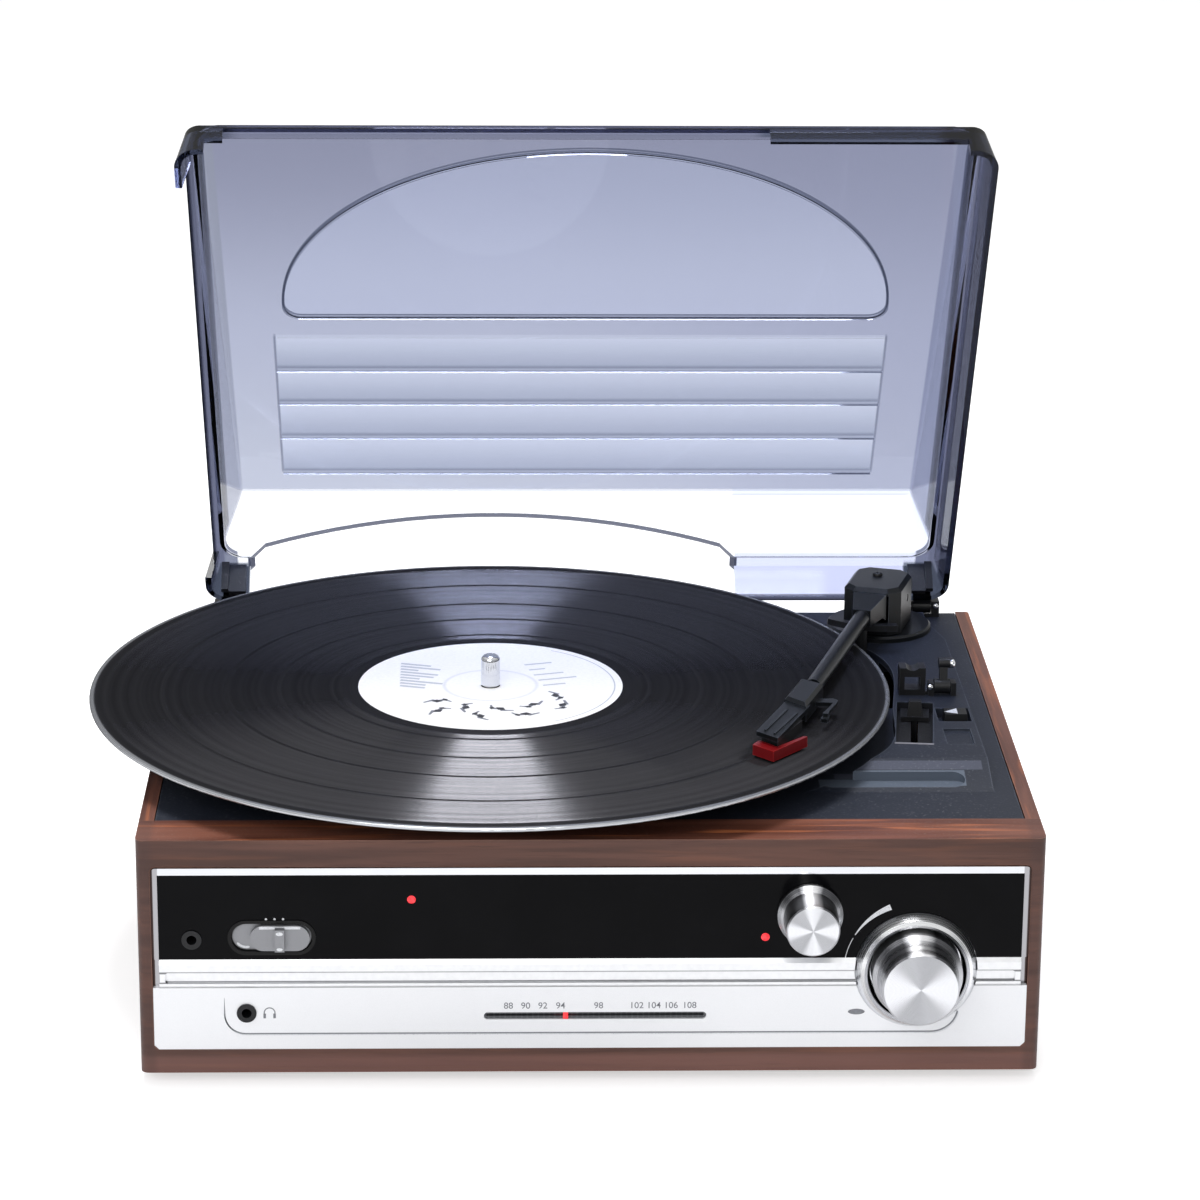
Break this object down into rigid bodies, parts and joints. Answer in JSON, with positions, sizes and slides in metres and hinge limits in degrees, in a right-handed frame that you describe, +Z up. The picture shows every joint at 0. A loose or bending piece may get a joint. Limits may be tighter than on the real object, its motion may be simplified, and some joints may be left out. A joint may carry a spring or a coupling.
{
  "type": "stereo music centre",
  "caption": "Compact stereo music centre: a turntable with a tonearm and a record under an open smoked lid, and a radio panel with knobs across the front of a wooden cabinet.",
  "frame": {"origin": "on the standing surface, under the middle of the cabinet", "axes": "+X is the listener's right, +Y is the back of the cabinet, +Z is up; the lid is stored open"},
  "size_m": [0.3463, 0.3036, 0.3178],
  "materials": {
    "walnut_veneer": "satin",
    "deck_plastic": "matte",
    "arm_plastic": "satin",
    "black_plastic": "matte",
    "black_gloss": "gloss",
    "silver_paint": "satin",
    "chrome_trim": "polished",
    "spun_aluminium": "turned",
    "smoked_lid": "clear smoked",
    "vinyl": "grooved",
    "paper_label": "matte",
    "rubber": "matte",
    "steel": "plain",
    "red_plastic": "gloss",
    "lamp_red": "clear",
    "board_green": "matte",
    "softwood": "raw",
    "fibreboard": "raw",
    "dial_grey": "matte"
  },
  "bodies": {
    "base": {"front_frame": "walnut_veneer", "side_panels": "walnut_veneer", "rear_panel": "fibreboard", "bottom_panel": "fibreboard", "corner_blocks": "softwood", "base_screws": "steel", "rubber_feet": "rubber", "deck_plate": "deck_plastic", "tonearm_base": "arm_plastic", "arm_rest": "black_plastic", "hinge_brackets": "black_plastic", "hinge_pins": "steel", "spindle_bearing": "steel", "motor": "steel", "drive_belt": "rubber", "auto_stop_microswitch": "black_plastic", "fascia_frame": "chrome_trim", "display_panel": "black_gloss", "trim_strip": "chrome_trim", "lower_panel": "silver_paint", "volume_bezel": "chrome_trim", "volume_pot": "steel", "tuning_capacitor": "steel", "dial_strip": "dial_grey", "indicator_lamps": "lamp_red", "jack_sockets": "black_plastic", "selector_bezel": "silver_paint", "selector_switch": "steel", "control_board": "board_green", "main_board": "board_green", "transformer": "steel", "speakers": "black_plastic", "line_out_jacks": "black_plastic", "mains_inlet": "black_plastic"},
    "platter": {"platter": "black_plastic", "platter_spindle": "chrome_trim", "platter_mat": "rubber", "record": "vinyl", "record_label": "paper_label"},
    "pulley": {"motor_pulley": "black_plastic"},
    "arm_pivot": {"arm_housing": "arm_plastic", "arm_shaft": "steel", "arm_tilt_pin": "steel", "auto_stop_cam": "black_plastic"},
    "arm": {"arm_tube": "arm_plastic", "headshell": "arm_plastic", "cartridge": "black_plastic", "stylus": "red_plastic"},
    "lid": {"lid": "smoked_lid", "lid_hinge_leaves": "black_plastic"},
    "cue_lever": {"cue_lever": "black_plastic"},
    "cue_lift": {"cue_lift": "black_plastic"},
    "speed_lever": {"speed_lever": "black_plastic"},
    "auto_stop_knob": {"auto_stop_knob": "black_plastic"},
    "selector_knob": {"selector_knob": "silver_paint"},
    "tuning": {"tuning_knob": "spun_aluminium", "tuning_shaft": "black_plastic"},
    "dial_pointer": {"dial_pointer": "lamp_red"},
    "volume": {"volume_knob": "spun_aluminium", "volume_shaft": "steel"}
  },
  "joints": [
    {"name": "lid_hinge", "type": "hinge", "parent": "base", "child": "lid", "pos_m": [0, 0.127, 0.0964], "axis": [-1, 0, 0], "range_deg": [-60, 0]},
    {"name": "platter_spin", "type": "hinge", "parent": "base", "child": "platter", "pos_m": [-0.0355, 0, 0.0995], "axis": [0, 0, 1], "continuous": true},
    {"name": "pulley_spin", "type": "hinge", "parent": "base", "child": "pulley", "pos_m": [-0.09702, 0.06152, 0.095], "axis": [0, 0, 1], "continuous": true},
    {"name": "arm_swing", "type": "hinge", "parent": "base", "child": "arm_pivot", "pos_m": [0.12, 0.093, 0.1], "axis": [0, 0, 1], "range_deg": [-24.4, 21]},
    {"name": "arm_lift", "type": "hinge", "parent": "arm_pivot", "child": "arm", "pos_m": [0.12, 0.093, 0.112], "axis": [-0.9563, 0.2924, 0], "range_deg": [0, 6]},
    {"name": "cue_lever_tilt", "type": "hinge", "parent": "base", "child": "cue_lever", "pos_m": [0.137, 0.01199, 0.1017], "axis": [1, 0, 0], "range_deg": [0, 76]},
    {"name": "cue_lift_slide", "type": "slide", "parent": "base", "child": "cue_lift", "axis": [0, 0, 1], "range_m": [-0.004, 0]},
    {"name": "speed_slide", "type": "slide", "parent": "base", "child": "speed_lever", "axis": [-0.1011, -0.9949, 0], "range_m": [0, 0.03]},
    {"name": "auto_stop_slide", "type": "slide", "parent": "base", "child": "auto_stop_knob", "axis": [0, -1, 0], "range_m": [0, 0.005]},
    {"name": "selector_slide", "type": "slide", "parent": "base", "child": "selector_knob", "axis": [1, 0, 0], "range_m": [-0.006, 0]},
    {"name": "tuning_turn", "type": "hinge", "parent": "base", "child": "tuning", "pos_m": [0.0771, -0.12, 0.0654], "axis": [0, 1, 0], "range_deg": [-109.7, 191]},
    {"name": "pointer_slide", "type": "slide", "parent": "base", "child": "dial_pointer", "axis": [1, 0, 0], "range_m": [-0.0271, 0.0471]},
    {"name": "volume_turn", "type": "hinge", "parent": "base", "child": "volume", "pos_m": [0.1152, -0.12, 0.0441], "axis": [0, 1, 0], "range_deg": [-60, 240]}
  ],
  "couplings": [
    {"joint": "pulley_spin", "follows": "platter_spin", "ratio": 15},
    {"joint": "cue_lever_tilt", "follows": "cue_lift_slide", "rad_per_m": -327.25},
    {"joint": "pointer_slide", "follows": "tuning_turn", "m_per_rad": 0.0141}
  ]
}
